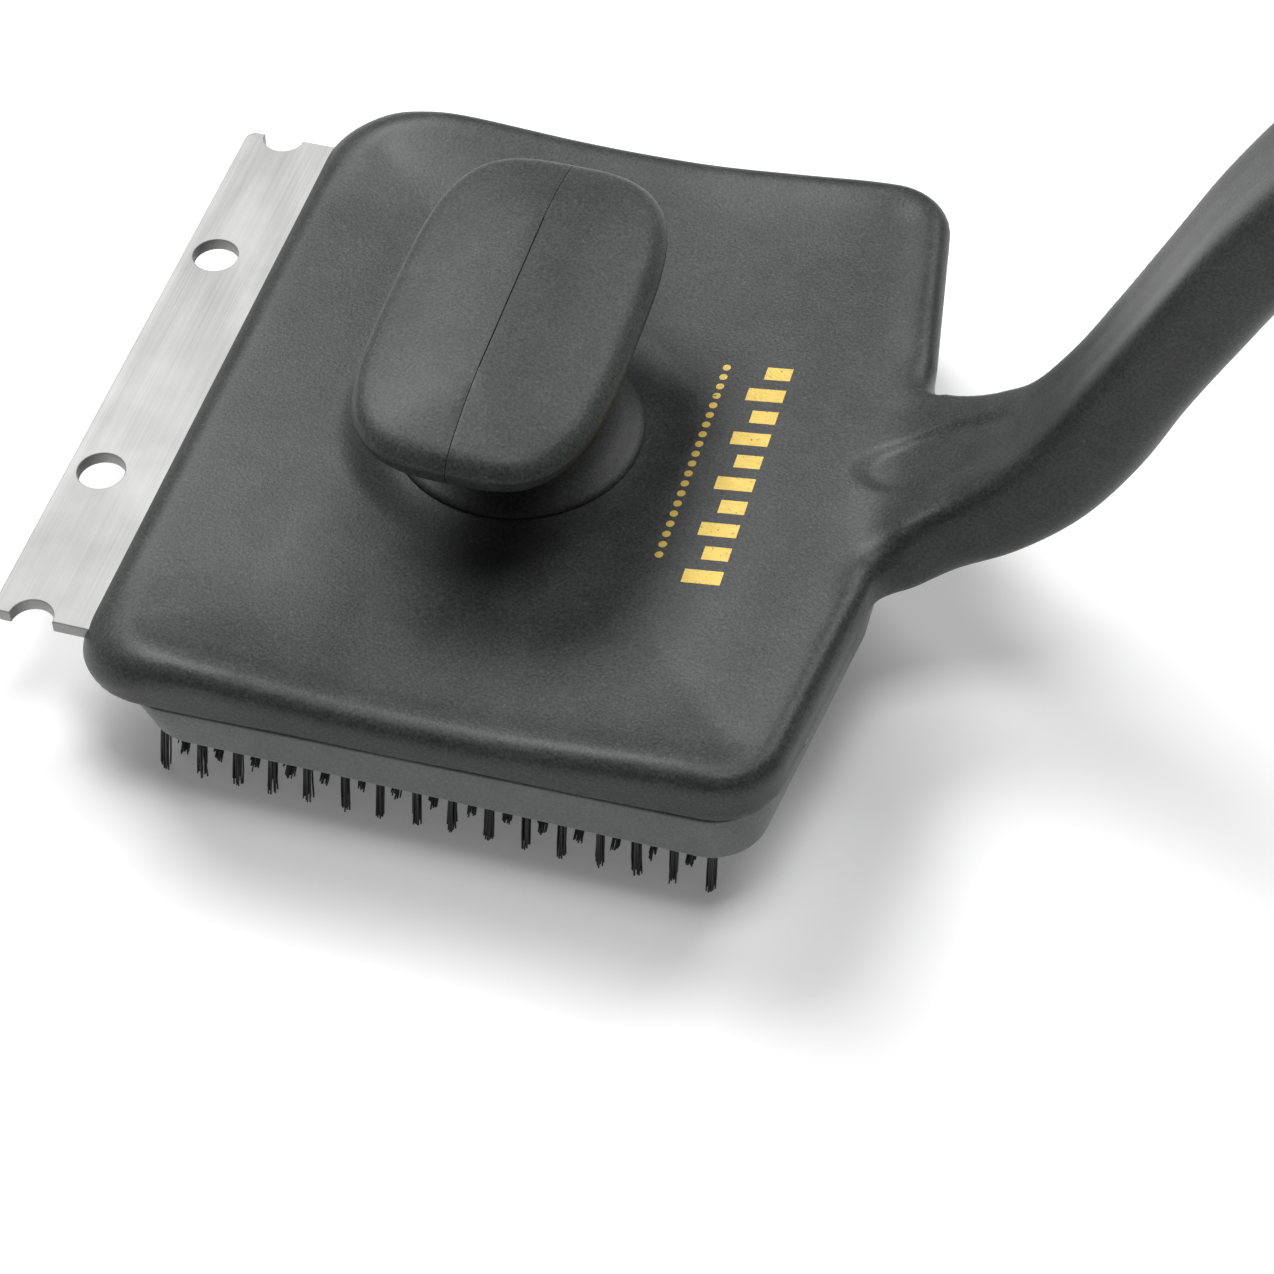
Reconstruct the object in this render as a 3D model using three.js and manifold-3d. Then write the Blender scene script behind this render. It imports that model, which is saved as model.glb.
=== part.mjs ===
// Grill cleaning brush: a wide bristle head with a stainless scraper, a palm knob and a rising handle.
// Units are millimetres. +Z is up, +X runs from the scraper towards the handle, Y runs across the head.
// The origin is on the brush's middle plane, at the level of the bristle tips, under the middle of the head.
import * as THREE from "three";
import { mergeVertices } from "three/addons/utils/BufferGeometryUtils.js";
import Module from "manifold-3d";

// ---- Driving dimensions ----
const FIT_GAP = 0.3;

// Bristles: rows run along X, and every other row is shifted by half a pitch.
const TUFT_LENGTH = 16.5;
const TUFT_PITCH = 6.8;
const TUFT_TIP_RADIUS = 1.45;
const TUFT_ROOT_RADIUS = 1.15;
const TUFT_SIDES = 4;
const LEAN_PER_MM = 0.016;
const TUFTS_IN_LONG_ROW = 16;
const TUFTS_IN_SHORT_ROW = 15;
const TUFT_ROWS = 23;
const ROW_PITCH = 6.55;
const STRIP_WIDTH = 2.8;
const STRIP_HEIGHT = 3.9;
const GROOVE_DEPTH = STRIP_HEIGHT + 2 * FIT_GAP;

// Bristle block: the lower half of the head.
const BLOCK_BOTTOM_Z = TUFT_LENGTH;
const BLOCK_FRONT_X = -47;
const BLOCK_HALF_WIDTH = 78.4;
const BLOCK_REAR_INSET = 2.4;
const BLOCK_EDGE_RADIUS = 1.6;
const SEAT_ROOT_Z = 22.8;

// Parting line between the cover and the block: it rises towards the handle.
const PARTING_FRONT_Z = 25.1;
const PARTING_REAR_Z = 28.6;

// Cover: the upper half of the head.
const COVER_FRONT_X = -60;
const COVER_HALF_WIDTH = 79;
const REAR_CORNER_X = 69;
const REAR_MIDDLE_X = 77;
const REAR_MIDDLE_HALF_WIDTH = 22;
const FRONT_CORNER_RADIUS = 15;
const REAR_CORNER_RADIUS = 13;
const DISH_DEPTH = 3;
const CAVITY_ROOF_Z = 28.7;

// Tufts lean towards the scraper, more so the nearer they are to it.
// The middle tuft of the middle row has its tip at the origin.
const MIDDLE_TUFT_ROOT_X = (LEAN_PER_MM * REAR_CORNER_X) / (1 + LEAN_PER_MM);
const FIRST_TUFT_X = MIDDLE_TUFT_ROOT_X - 6.5 * TUFT_PITCH;

// Scraper blade: a flat stainless plate clamped between the cover and the block.
const BLADE_TOP_Z = 29.5;
const BLADE_THICKNESS = 2.8;
const BLADE_FRONT_X = -77;
const BLADE_REAR_X = -22;
const BLADE_HALF_LENGTH = 67.5;
const BLADE_HOLE_RADIUS = 4.5;
const BLADE_HOLE_X = -70.5;
const BLADE_HOLE_Y = 30.5;
const BITE_RADIUS = 4.1;
const BITE_X = -69.3;
const PEG_RADIUS = 2.2;
const PEG_X = -32;
const PEG_SPACING = 45;

// Palm knob.
const KNOB_X = 1.8;
const KNOB_HALF_LENGTH = 41;
const KNOB_HALF_WIDTH = 23.5;
const KNOB_SQUARENESS = 3.45;
const KNOB_TOP_Z = 66.5;
const KNOB_DEPTH = 16;
const KNOB_WALL = 2.8;
const FLANGE_RADIUS = 24.2;
const FLANGE_SEAT_Z = 31.4;
const STEM_RADIUS = 12.5;
const SPIGOT_RADIUS = 8;
const SPIGOT_HEIGHT = 8;
const KNOB_SCREW_RADIUS = 2.5;
const WASHER_RADIUS = 7;
const SCREW_POCKET_Z = 23.8;

// Screws that hold the rear of the block, sunk in round recesses of its rear wall.
const SIDE_SCREW_Y = 52;
const SIDE_SCREW_Z = 24;
const RECESS_RADIUS = 3.4;
const SIDE_SCREW_HEAD_RADIUS = 2.6;
const SIDE_SCREW_RADIUS = 1.4;

// Handle centre line, from inside the head to the free end: x, z, half width, half thickness.
const HANDLE_STATIONS = [
  { x: 52, z: 30.2, halfWidth: 34, halfThick: 3 },
  { x: 66, z: 30.8, halfWidth: 31, halfThick: 5 },
  { x: 76, z: 33.2, halfWidth: 24.5, halfThick: 7.6 },
  { x: 86, z: 38.4, halfWidth: 17.6, halfThick: 9.1 },
  { x: 94, z: 43.2, halfWidth: 14.8, halfThick: 10 },
  { x: 102.2, z: 50.8, halfWidth: 13.6, halfThick: 10.1 },
  { x: 109.7, z: 63.6, halfWidth: 13.2, halfThick: 9.9 },
  { x: 116, z: 78.7, halfWidth: 13, halfThick: 9.3 },
  { x: 122.6, z: 94, halfWidth: 13, halfThick: 9.3 },
  { x: 131.4, z: 113.3, halfWidth: 13.2, halfThick: 9.5 },
  { x: 142, z: 129.5, halfWidth: 13.6, halfThick: 10.3 },
  { x: 158, z: 144.5, halfWidth: 14.4, halfThick: 10.9 },
  { x: 180, z: 156.5, halfWidth: 15.2, halfThick: 11.4 },
  { x: 206, z: 166, halfWidth: 15.4, halfThick: 11.4 },
  { x: 234, z: 174, halfWidth: 15, halfThick: 10.6 },
  { x: 262, z: 181.4, halfWidth: 14.6, halfThick: 8.8 },
  { x: 284, z: 187.2, halfWidth: 14.2, halfThick: 6.6 },
  { x: 292, z: 189.3, halfWidth: 12.6, halfThick: 5.8 },
  { x: 297, z: 190.6, halfWidth: 9.2, halfThick: 4.4 },
];
const HANDLE_STEPS = 36;
const HANDLE_SIDES = 20;
const HANDLE_SQUARENESS = 2.5;
const HANG_HOLE_RADIUS = 6;
const HANG_HOLE_X = 281;
const HANG_HOLE_Z = 186.4;

// ---- Materials ----
function plastic(color, roughness) {
  return new THREE.MeshStandardMaterial({ color, roughness, metalness: 0 });
}
const coverBlack = plastic(0x2b2c2c, 0.55);
const blockBlack = plastic(0x343636, 0.5);
const knobBlack = plastic(0x272828, 0.5);
const bristleBlack = plastic(0x161616, 0.6);
const stainless = new THREE.MeshStandardMaterial({ color: 0xc9cacb, roughness: 0.35, metalness: 1 });
const zincSteel = new THREE.MeshStandardMaterial({ color: 0x9a9da0, roughness: 0.4, metalness: 1 });

// ---- Solid helpers ----
const wasm = await Module();
wasm.setup();

function toSolid(geometry) {
  const plain = geometry.clone();
  plain.deleteAttribute("normal");
  plain.deleteAttribute("uv");
  const merged = mergeVertices(plain, 1e-4);
  const vertProperties = new Float32Array(merged.attributes.position.array);
  const triVerts = new Uint32Array(merged.index.array);
  return new wasm.Manifold(new wasm.Mesh({ numProp: 3, vertProperties, triVerts }));
}

function toGeometry(solid) {
  const mesh = solid.getMesh();
  const geometry = new THREE.BufferGeometry();
  geometry.setAttribute("position", new THREE.BufferAttribute(new Float32Array(mesh.vertProperties), 3));
  geometry.setIndex(new THREE.BufferAttribute(new Uint32Array(mesh.triVerts), 1));
  geometry.computeVertexNormals();
  return geometry;
}

function box(low, high) {
  const size = high.map((value, axis) => value - low[axis]);
  const geometry = new THREE.BoxGeometry(...size);
  geometry.translate(...low.map((value, axis) => value + size[axis] / 2));
  return toSolid(geometry);
}

function uprightCylinder(radius, x, y, lowZ, highZ, sides = 32) {
  const geometry = new THREE.CylinderGeometry(radius, radius, highZ - lowZ, sides);
  geometry.rotateX(Math.PI / 2);
  geometry.translate(x, y, (lowZ + highZ) / 2);
  return toSolid(geometry);
}

function lengthwiseCylinder(radius, lowX, highX, y, z, sides = 20) {
  const geometry = new THREE.CylinderGeometry(radius, radius, highX - lowX, sides);
  geometry.rotateZ(Math.PI / 2);
  geometry.translate((lowX + highX) / 2, y, z);
  return toSolid(geometry);
}

// Turns a profile of radius and height around the upright line at x.
function turned(profile, x, sides = 40) {
  const geometry = new THREE.LatheGeometry(profile.map(([r, z]) => new THREE.Vector2(r, z)), sides);
  geometry.rotateX(Math.PI / 2);
  geometry.translate(x, 0, 0);
  return toSolid(geometry);
}

// Joins rings of equal length into a closed body and closes both ends with a fan.
function loft(rings) {
  const count = rings[0].length;
  const points = rings.flat();
  const faces = [];
  for (let level = 0; level < rings.length - 1; level += 1) {
    for (let i = 0; i < count; i += 1) {
      const a = level * count + i;
      const b = level * count + ((i + 1) % count);
      faces.push(a, b, b + count, a, b + count, a + count);
    }
  }
  const closeEnd = (ring, start, flip) => {
    const centre = ring.reduce((sum, p) => sum.add(p), new THREE.Vector3()).divideScalar(count);
    const middle = points.push(centre) - 1;
    for (let i = 0; i < count; i += 1) {
      const a = start + i;
      const b = start + ((i + 1) % count);
      faces.push(...(flip ? [middle, b, a] : [middle, a, b]));
    }
  };
  closeEnd(rings[0], 0, true);
  closeEnd(rings[rings.length - 1], (rings.length - 1) * count, false);
  const geometry = new THREE.BufferGeometry().setFromPoints(points);
  geometry.setIndex(faces);
  return toSolid(geometry);
}

// Straight-line interpolation in a list of [x, value] pairs.
function along(table, x) {
  const last = table.length - 1;
  if (x <= table[0][0]) return table[0][1];
  if (x >= table[last][0]) return table[last][1];
  const upper = table.findIndex(([at]) => at >= x);
  const [x0, v0] = table[upper - 1];
  const [x1, v1] = table[upper];
  return v0 + ((v1 - v0) * (x - x0)) / (x1 - x0);
}

// ---- Outline of the head ----
function headCorners(frontX, halfWidth, rearInset, frontRadius, rearRadius) {
  const rearX = REAR_CORNER_X - rearInset;
  const middleX = REAR_MIDDLE_X - rearInset;
  return [
    { x: frontX, y: -halfWidth, r: frontRadius },
    { x: rearX, y: -halfWidth, r: rearRadius },
    { x: middleX, y: -REAR_MIDDLE_HALF_WIDTH, r: 12 },
    { x: middleX, y: REAR_MIDDLE_HALF_WIDTH, r: 12 },
    { x: rearX, y: halfWidth, r: rearRadius },
    { x: frontX, y: halfWidth, r: frontRadius },
  ];
}

// Moves every edge of a convex outline inwards by a distance.
function insetCorners(corners, distance) {
  const count = corners.length;
  const edges = corners.map((from, i) => {
    const to = corners[(i + 1) % count];
    const length = Math.hypot(to.x - from.x, to.y - from.y);
    const nx = -(to.y - from.y) / length;
    const ny = (to.x - from.x) / length;
    return { nx, ny, c: nx * from.x + ny * from.y + distance };
  });
  return corners.map((corner, i) => {
    const before = edges[(i + count - 1) % count];
    const after = edges[i];
    const det = before.nx * after.ny - before.ny * after.nx;
    return {
      x: (before.c * after.ny - after.c * before.ny) / det,
      y: (before.nx * after.c - after.nx * before.c) / det,
      r: Math.max(corner.r - distance, 2),
    };
  });
}

// Points along the rounded outline, with extra points on the long straight edges.
function outlinePoints(corners, arcSteps = 5, edgeSteps = 7) {
  const count = corners.length;
  const arcs = corners.map((corner, i) => {
    const before = corners[(i + count - 1) % count];
    const after = corners[(i + 1) % count];
    const toBefore = new THREE.Vector2(before.x - corner.x, before.y - corner.y).normalize();
    const toAfter = new THREE.Vector2(after.x - corner.x, after.y - corner.y).normalize();
    const half = Math.acos(THREE.MathUtils.clamp(toBefore.dot(toAfter), -1, 1)) / 2;
    const inward = toBefore.clone().add(toAfter).normalize();
    const centre = new THREE.Vector2(corner.x, corner.y).addScaledVector(inward, corner.r / Math.sin(half));
    const start = new THREE.Vector2(corner.x, corner.y).addScaledVector(toBefore, corner.r / Math.tan(half));
    const sweep = Math.PI - 2 * half;
    return Array.from({ length: arcSteps + 1 }, (_, k) =>
      start.clone().rotateAround(centre, (sweep * k) / arcSteps),
    );
  });
  const points = [];
  arcs.forEach((arc, i) => {
    points.push(...arc);
    const from = arc[arc.length - 1];
    const to = arcs[(i + 1) % count][0];
    for (let k = 1; k < edgeSteps; k += 1) points.push(from.clone().lerp(to, k / edgeSteps));
  });
  return points;
}

function partingHeight(x) {
  return along([[COVER_FRONT_X, PARTING_FRONT_Z], [REAR_MIDDLE_X, PARTING_REAR_Z]], x);
}

// Height of the cover's raised rim: low at the scraper, a hump behind it, a saddle, and a rise to the rear.
const RIM_PROFILE = [
  [-60, 31.3],
  [-55, 32.9],
  [-48, 34.8],
  [-40, 36],
  [-31, 36.2],
  [-22, 35.7],
  [-10, 35],
  [3, 34.7],
  [20, 35.1],
  [38, 36.9],
  [54, 38.7],
  [69, 39.2],
];
function rimHeight(x) {
  return along(RIM_PROFILE, x);
}

// ---- Bristle rows ----
function rowY(index) {
  return (index - (TUFT_ROWS - 1) / 2) * ROW_PITCH;
}

function rowTufts(index) {
  const short = index % 2 === 1;
  const count = short ? TUFTS_IN_SHORT_ROW : TUFTS_IN_LONG_ROW;
  const start = FIRST_TUFT_X + (short ? TUFT_PITCH / 2 : 0);
  return Array.from({ length: count }, (_, i) => start + i * TUFT_PITCH);
}

function stripEnds(index) {
  const tufts = rowTufts(index);
  return [tufts[0] - 2, tufts[tufts.length - 1] + 2];
}

// One row of tufts joined by the strip that anchors them in the block.
function tuftRow(index) {
  const y = rowY(index);
  const [lowX, highX] = stripEnds(index);
  const stripTop = BLOCK_BOTTOM_Z + GROOVE_DEPTH - FIT_GAP;
  const stripBottom = stripTop - STRIP_HEIGHT;
  let row = box([lowX, y - STRIP_WIDTH / 2, stripBottom], [highX, y + STRIP_WIDTH / 2, stripTop]);
  for (const x of rowTufts(index)) {
    const height = stripBottom + 0.6;
    const tuft = new THREE.CylinderGeometry(TUFT_ROOT_RADIUS, TUFT_TIP_RADIUS, height, TUFT_SIDES);
    tuft.rotateX(Math.PI / 2);
    tuft.translate(0, 0, height / 2);
    const lean = LEAN_PER_MM * (REAR_CORNER_X - x);
    tuft.applyMatrix4(new THREE.Matrix4().makeShear(0, 0, 0, 0, lean / height, 0));
    tuft.translate(x - lean, y, 0);
    row = row.add(toSolid(tuft));
  }
  return toGeometry(row);
}

// ---- Bristle block ----
function sideScrewXs() {
  const wallX = along([[REAR_MIDDLE_HALF_WIDTH, REAR_MIDDLE_X], [COVER_HALF_WIDTH, REAR_CORNER_X]], SIDE_SCREW_Y) - 1;
  return { wallX, recessFloorX: wallX - 3.2, lugRearX: wallX - 6, lugFrontX: wallX - 13 };
}

function blockCorners() {
  return headCorners(BLOCK_FRONT_X, BLOCK_HALF_WIDTH, BLOCK_REAR_INSET, 9, 10.5);
}

// Room that the block takes below the parting line, with a fit gap all round.
function blockRoom() {
  const outline = outlinePoints(insetCorners(blockCorners(), -FIT_GAP), 4, 3);
  return loft([
    outline.map((p) => new THREE.Vector3(p.x, p.y, 0)),
    outline.map((p) => new THREE.Vector3(p.x, p.y, partingHeight(p.x))),
  ]);
}

function bristleBlock() {
  const corners = blockCorners();
  const levels = [
    { inset: BLOCK_EDGE_RADIUS, z: () => BLOCK_BOTTOM_Z },
    { inset: BLOCK_EDGE_RADIUS * 0.3, z: () => BLOCK_BOTTOM_Z + BLOCK_EDGE_RADIUS * 0.4 },
    { inset: 0, z: () => BLOCK_BOTTOM_Z + BLOCK_EDGE_RADIUS },
    { inset: 0, z: (x) => partingHeight(x) - FIT_GAP },
  ];
  const rings = levels.map(({ inset, z }) =>
    outlinePoints(insetCorners(corners, inset), 4, 3).map((p) => new THREE.Vector3(p.x, p.y, z(p.x))),
  );
  let block = loft(rings);
  // Seat and locating pegs that clamp the blade.
  const seatTop = BLADE_TOP_Z - BLADE_THICKNESS - FIT_GAP;
  block = block.add(box([BLOCK_FRONT_X + 4, -62, SEAT_ROOT_Z], [BLADE_REAR_X - 1, 62, seatTop]));
  for (const y of [-PEG_SPACING, 0, PEG_SPACING]) {
    block = block.add(uprightCylinder(PEG_RADIUS, PEG_X, y, SEAT_ROOT_Z, BLADE_TOP_Z - FIT_GAP, 16));
  }
  for (let index = 0; index < TUFT_ROWS; index += 1) {
    const y = rowY(index);
    const [lowX, highX] = stripEnds(index);
    const half = STRIP_WIDTH / 2 + FIT_GAP;
    const low = [lowX - FIT_GAP, y - half, BLOCK_BOTTOM_Z - 1];
    const high = [highX + FIT_GAP, y + half, BLOCK_BOTTOM_Z + GROOVE_DEPTH];
    block = block.subtract(box(low, high));
  }
  // Pocket under the knob screw and its washer.
  block = block.subtract(uprightCylinder(WASHER_RADIUS + 1, KNOB_X, 0, SCREW_POCKET_Z, 40, 28));
  const { wallX, recessFloorX, lugRearX, lugFrontX } = sideScrewXs();
  for (const side of [-1, 1]) {
    const y = side * SIDE_SCREW_Y;
    const pocketLow = [lugFrontX - FIT_GAP, y - 5 - FIT_GAP, BLOCK_BOTTOM_Z + GROOVE_DEPTH + 0.6];
    const pocketHigh = [lugRearX + FIT_GAP, y + 5 + FIT_GAP, 40];
    block = block.subtract(box(pocketLow, pocketHigh));
    block = block.subtract(lengthwiseCylinder(RECESS_RADIUS, recessFloorX, wallX + 4, y, SIDE_SCREW_Z, 24));
    block = block.subtract(
      lengthwiseCylinder(SIDE_SCREW_RADIUS + FIT_GAP, lugRearX - 1, recessFloorX + 1, y, SIDE_SCREW_Z, 16),
    );
  }
  return toGeometry(block);
}

// ---- Cover with the neck and handle, one moulding ----
function coverShell() {
  const corners = headCorners(
    COVER_FRONT_X, COVER_HALF_WIDTH, 0, FRONT_CORNER_RADIUS, REAR_CORNER_RADIUS,
  );
  // Each level: how far the ring lies inside the outline, and how far it lies below the rim.
  const levels = [
    { inset: 0.4, drop: null },
    { inset: 0, drop: 5.2 },
    { inset: 0.5, drop: 3 },
    { inset: 1.7, drop: 1.1 },
    { inset: 3.6, drop: 0.15 },
    { inset: 6, drop: 0 },
    { inset: 9.5, drop: 0.35 },
    { inset: 15, drop: 1.1 },
    { inset: 23, drop: 2 },
    { inset: 34, drop: 2.7 },
    { inset: 48, drop: DISH_DEPTH },
  ];
  const rings = levels.map(({ inset, drop }) =>
    outlinePoints(insetCorners(corners, inset)).map((p) => {
      const floor = partingHeight(p.x);
      const z = drop === null ? floor : Math.max(rimHeight(p.x) - drop, floor + 0.8);
      return new THREE.Vector3(p.x, p.y, z);
    }),
  );
  return loft(rings);
}

// Section of the handle: an oval whose sides are slightly flattened.
function handleSection(centre, tangent, halfWidth, halfThick) {
  const across = new THREE.Vector3(0, 1, 0);
  const up = new THREE.Vector3().crossVectors(tangent, across).normalize();
  return Array.from({ length: HANDLE_SIDES }, (_, i) => {
    const angle = (2 * Math.PI * i) / HANDLE_SIDES;
    const c = Math.cos(angle);
    const s = Math.sin(angle);
    const power = 2 / HANDLE_SQUARENESS;
    const a = Math.sign(c) * Math.abs(c) ** power * halfWidth;
    const b = Math.sign(s) * Math.abs(s) ** power * halfThick;
    return centre.clone().addScaledVector(across, a).addScaledVector(up, b);
  });
}

function handleSolid() {
  const centres = HANDLE_STATIONS.map(({ x, z }) => new THREE.Vector3(x, 0, z));
  const sizes = HANDLE_STATIONS.map(({ x, halfWidth, halfThick }) => new THREE.Vector3(x, halfWidth, halfThick));
  const path = new THREE.CatmullRomCurve3(centres, false, "centripetal");
  const growth = new THREE.CatmullRomCurve3(sizes, false, "centripetal");
  const rings = Array.from({ length: HANDLE_STEPS + 1 }, (_, k) => {
    const t = k / HANDLE_STEPS;
    const size = growth.getPoint(t);
    return handleSection(path.getPoint(t), path.getTangent(t), size.y, size.z);
  });
  return loft(rings);
}

// Shallow oval thumb rest pressed into the bend between the head and the neck.
function thumbRecess() {
  const geometry = new THREE.SphereGeometry(1, 36, 18);
  geometry.scale(15.6, 9.8, 3.2);
  geometry.rotateY(-0.55);
  geometry.translate(79, 0, 46.6);
  return toSolid(geometry);
}

function coverAndHandle() {
  let cover = coverShell().add(handleSolid().subtract(blockRoom()));
  cover = cover.subtract(thumbRecess());
  // Round pad that levels the dished top under the knob's flange.
  cover = cover.add(uprightCylinder(FLANGE_RADIUS + 0.4, KNOB_X, 0, CAVITY_ROOF_Z, FLANGE_SEAT_Z, 48));
  cover = cover.subtract(uprightCylinder(FLANGE_RADIUS + 0.4, KNOB_X, 0, FLANGE_SEAT_Z, 40, 48));
  // Hollow inside of the head.
  cover = cover.subtract(box([BLADE_REAR_X + 4, -73.5, 20], [REAR_CORNER_X - 7.5, 73.5, CAVITY_ROOF_Z]));
  // Slot for the blade, open at the bottom.
  const slotHalf = BLADE_HALF_LENGTH + FIT_GAP;
  cover = cover.subtract(box([COVER_FRONT_X - 5, -slotHalf, 20], [BLADE_REAR_X + 5, slotHalf, BLADE_TOP_Z + FIT_GAP]));
  // Lugs that the rear screws bite into.
  const { lugRearX, lugFrontX } = sideScrewXs();
  for (const side of [-1, 1]) {
    const y = side * SIDE_SCREW_Y;
    const lugBottom = BLOCK_BOTTOM_Z + GROOVE_DEPTH + 0.6 + FIT_GAP;
    cover = cover.add(box([lugFrontX, y - 5, lugBottom], [lugRearX, y + 5, CAVITY_ROOF_Z + 1]));
    cover = cover.subtract(
      lengthwiseCylinder(SIDE_SCREW_RADIUS + FIT_GAP, lugFrontX + 1, lugRearX + 1, y, SIDE_SCREW_Z, 16),
    );
  }
  cover = cover.subtract(uprightCylinder(KNOB_SCREW_RADIUS + FIT_GAP, KNOB_X, 0, 28, 40, 20));
  cover = cover.subtract(hangHole());
  return toGeometry(cover);
}

function hangHole() {
  const geometry = new THREE.CylinderGeometry(HANG_HOLE_RADIUS, HANG_HOLE_RADIUS, 40, 32);
  geometry.rotateX(Math.PI / 2);
  geometry.translate(HANG_HOLE_X, 0, HANG_HOLE_Z);
  return toSolid(geometry);
}

// ---- Scraper blade ----
function scraperBlade() {
  const low = BLADE_TOP_Z - BLADE_THICKNESS;
  let blade = box([BLADE_FRONT_X, -BLADE_HALF_LENGTH, low], [BLADE_REAR_X, BLADE_HALF_LENGTH, BLADE_TOP_Z]);
  for (const side of [-1, 1]) {
    blade = blade.subtract(uprightCylinder(BITE_RADIUS, BITE_X, side * BLADE_HALF_LENGTH, low - 1, BLADE_TOP_Z + 1, 36));
    blade = blade.subtract(
      uprightCylinder(BLADE_HOLE_RADIUS, BLADE_HOLE_X, side * BLADE_HOLE_Y, low - 1, BLADE_TOP_Z + 1, 40),
    );
    blade = blade.subtract(frontCornerCut(side, low));
  }
  for (const y of [-PEG_SPACING, 0, PEG_SPACING]) {
    blade = blade.subtract(uprightCylinder(PEG_RADIUS + FIT_GAP, PEG_X, y, low - 1, BLADE_TOP_Z + 1, 24));
  }
  return toGeometry(blade);
}

// Rounds one front corner of the blade.
function frontCornerCut(side, low) {
  const radius = 2;
  const x = BLADE_FRONT_X;
  const y = side * BLADE_HALF_LENGTH;
  const innerY = y - side * radius;
  const square = box(
    [x - 1, Math.min(innerY, y + side), low - 1],
    [x + radius, Math.max(innerY, y + side), BLADE_TOP_Z + 1],
  );
  return square.subtract(uprightCylinder(radius, x + radius, innerY, low - 2, BLADE_TOP_Z + 2, 24));
}

// ---- Palm knob ----
function knobRing(inset, z, points = 44) {
  return Array.from({ length: points }, (_, i) => {
    const angle = (2 * Math.PI * (i + 0.5)) / points;
    const c = Math.cos(angle);
    const s = Math.sin(angle);
    const power = 2 / KNOB_SQUARENESS;
    const x = Math.sign(c) * Math.abs(c) ** power * (KNOB_HALF_WIDTH - inset);
    const y = Math.sign(s) * Math.abs(s) ** power * (KNOB_HALF_LENGTH - inset);
    return new THREE.Vector3(KNOB_X + x, y, z);
  });
}

// Levels of the knob from its underside to its crown: inset from the outline, depth below the crown.
const KNOB_LEVELS = [
  [8, KNOB_DEPTH],
  [4.2, 15.2],
  [1.8, 13.6],
  [0.5, 11.6],
  [0, 9.6],
  [0, 7],
  [0.2, 5.6],
  [0.7, 4.4],
  [1.7, 3.4],
  [3.4, 2.5],
  [6.2, 1.7],
  [10, 0.9],
  [14.5, 0.35],
  [21, 0],
];

function knobBody() {
  return loft(KNOB_LEVELS.map(([inset, depth]) => knobRing(inset, KNOB_TOP_Z - depth)));
}

function knobHollow() {
  const levels = [
    [8 + KNOB_WALL, KNOB_DEPTH - KNOB_WALL],
    [KNOB_WALL, 10.8],
    [KNOB_WALL + 0.2, 8],
    [5.2, 5.8],
    [10, 4.3],
    [17, 3.3],
  ];
  return loft(levels.map(([inset, depth]) => knobRing(inset, KNOB_TOP_Z - depth, 28)));
}

function knobHalf(side) {
  const low = KNOB_TOP_Z - KNOB_DEPTH - 2;
  const spigotTop = KNOB_TOP_Z - KNOB_DEPTH - FIT_GAP + SPIGOT_HEIGHT;
  const shell = knobBody()
    .subtract(knobHollow())
    .subtract(uprightCylinder(SPIGOT_RADIUS + FIT_GAP, KNOB_X, 0, low, spigotTop, 32));
  const near = KNOB_X + side * (FIT_GAP / 2);
  const far = KNOB_X + side * 60;
  return toGeometry(shell.intersect(box([Math.min(near, far), -60, low], [Math.max(near, far), 60, 90])));
}

// Stem with its flared flange, and the spigot that carries the two knob halves.
function knobStem() {
  const base = FLANGE_SEAT_Z + FIT_GAP;
  const top = KNOB_TOP_Z - KNOB_DEPTH - FIT_GAP;
  const bore = KNOB_SCREW_RADIUS + FIT_GAP;
  const profile = [
    [bore, base],
    [FLANGE_RADIUS, base],
    [FLANGE_RADIUS, base + 0.9],
    [FLANGE_RADIUS - 1, base + 1.7],
    [19.6, base + 2.6],
    [16.6, base + 4.2],
    [14.2, base + 7],
    [STEM_RADIUS + 0.4, base + 11],
    [STEM_RADIUS, top - 3],
    [STEM_RADIUS + 0.8, top],
    [SPIGOT_RADIUS, top],
    [SPIGOT_RADIUS, top + SPIGOT_HEIGHT],
    [bore, top + SPIGOT_HEIGHT],
    [bore, base],
  ];
  return toGeometry(turned(profile, KNOB_X));
}

// ---- Fasteners ----
function knobWasher() {
  const top = CAVITY_ROOF_Z - FIT_GAP;
  const hole = KNOB_SCREW_RADIUS + FIT_GAP;
  const profile = [[hole, top - 1], [WASHER_RADIUS, top - 1], [WASHER_RADIUS, top], [hole, top], [hole, top - 1]];
  return toGeometry(turned(profile, KNOB_X, 28));
}

function knobScrew() {
  const headTop = CAVITY_ROOF_Z - 2 * FIT_GAP - 1;
  const profile = [
    [0, headTop - 2.4],
    [3.2, headTop - 2.2],
    [4.4, headTop - 1.2],
    [4.6, headTop],
    [KNOB_SCREW_RADIUS, headTop],
    [KNOB_SCREW_RADIUS, KNOB_TOP_Z - 14],
    [1.4, KNOB_TOP_Z - 11],
    [0, KNOB_TOP_Z - 11],
  ];
  return toGeometry(turned(profile, KNOB_X, 24));
}

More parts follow.
